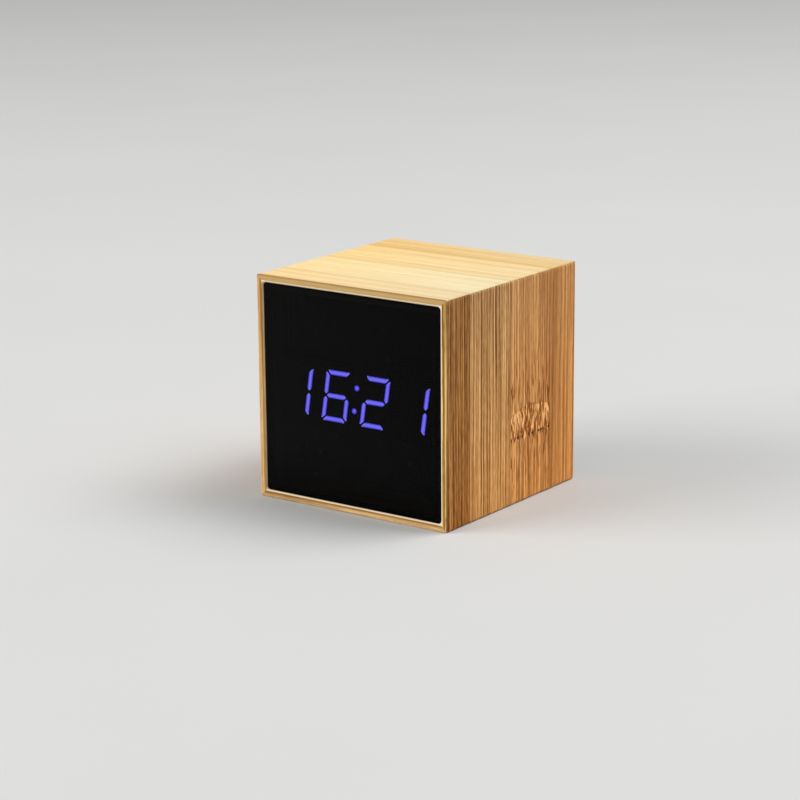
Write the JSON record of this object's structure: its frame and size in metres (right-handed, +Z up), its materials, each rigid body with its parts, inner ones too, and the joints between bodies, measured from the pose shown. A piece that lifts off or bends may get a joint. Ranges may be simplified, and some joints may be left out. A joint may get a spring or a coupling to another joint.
{
  "type": "digital alarm clock",
  "caption": "Bamboo cube alarm clock: mitred wooden case, smoked acrylic front over a glowing LED digit display, black back cover with press keys, power inlet and hinged battery door.",
  "frame": {"origin": "middle of the base, on the surface that the clock stands on", "axes": "+Z up, the lit front faces -Y, +X to the right as seen from the front"},
  "size_m": [0.062, 0.062, 0.062],
  "materials": {
    "bamboo": "sanded and oiled, straight grain",
    "post_wood": "sawn",
    "smoked_acrylic": "polished, see-through",
    "black_tape": "matt foam",
    "display_black": "matt",
    "lit_led": "cast epoxy, lit",
    "unlit_led": "cast epoxy, unlit",
    "plated_metal": "nickel plated",
    "screw_steel": "zinc plated",
    "circuit_board": "solder mask",
    "chip_black": "moulded",
    "capacitor_sleeve": "shrink sleeve",
    "switch_plastic": "moulded",
    "key_plastic": "fine texture",
    "cover_plastic": "fine moulded texture",
    "cell_wrap": "printed sleeve over a metal can",
    "red_wire": "insulation",
    "black_wire": "insulation",
    "ribbon_grey": "insulation"
  },
  "bodies": {
    "case": {"top_board": "bamboo", "bottom_board": "bamboo", "left_board": "bamboo", "right_board": "bamboo", "upper_left_post": "post_wood", "upper_right_post": "post_wood", "lower_left_post": "post_wood", "lower_right_post": "post_wood", "front_panel": "smoked_acrylic", "panel_tape": "black_tape", "display_housing": "display_black", "lit_segments": "lit_led", "unlit_segments": "unlit_led", "colon_dots": "lit_led", "display_pins": "plated_metal", "main_board": "circuit_board", "board_screws": "screw_steel", "clock_chip": "chip_black", "crystal": "plated_metal", "filter_capacitor": "capacitor_sleeve", "buzzer": "chip_black", "microphone": "plated_metal", "resistors": "chip_black", "key_board": "circuit_board", "key_board_screws": "screw_steel", "set_switch": "switch_plastic", "up_switch": "switch_plastic", "down_switch": "switch_plastic", "inlet_shell": "plated_metal", "inlet_tongue": "chip_black", "back_cover": "cover_plastic", "cover_screws": "screw_steel", "cell_1": "cell_wrap", "cell_2": "cell_wrap", "cell_3": "cell_wrap", "spring_1": "plated_metal", "spring_2": "plated_metal", "spring_3": "plated_metal", "left_link": "plated_metal", "right_link": "plated_metal", "positive_terminal": "plated_metal", "negative_terminal": "plated_metal", "positive_lead": "red_wire", "negative_lead": "black_wire", "ribbon_cable": "ribbon_grey"},
    "set_button": {"set_key": "key_plastic", "set_plunger": "switch_plastic"},
    "up_button": {"up_key": "key_plastic", "up_plunger": "switch_plastic"},
    "down_button": {"down_key": "key_plastic", "down_plunger": "switch_plastic"},
    "door": {"battery_door": "cover_plastic"}
  },
  "joints": [
    {"name": "set_press", "type": "slide", "parent": "case", "child": "set_button", "axis": [0, -1, 0], "range_m": [0, 0.0004], "stiffness_N_per_m": 800, "springref_m": -0.001},
    {"name": "up_press", "type": "slide", "parent": "case", "child": "up_button", "axis": [0, -1, 0], "range_m": [0, 0.0004], "stiffness_N_per_m": 800, "springref_m": -0.001},
    {"name": "down_press", "type": "slide", "parent": "case", "child": "down_button", "axis": [0, -1, 0], "range_m": [0, 0.0004], "stiffness_N_per_m": 800, "springref_m": -0.001},
    {"name": "door_swing", "type": "hinge", "parent": "case", "child": "door", "pos_m": [0, 0.029, 0.01245], "axis": [-1, 0, 0], "range_deg": [0, 90]}
  ]
}
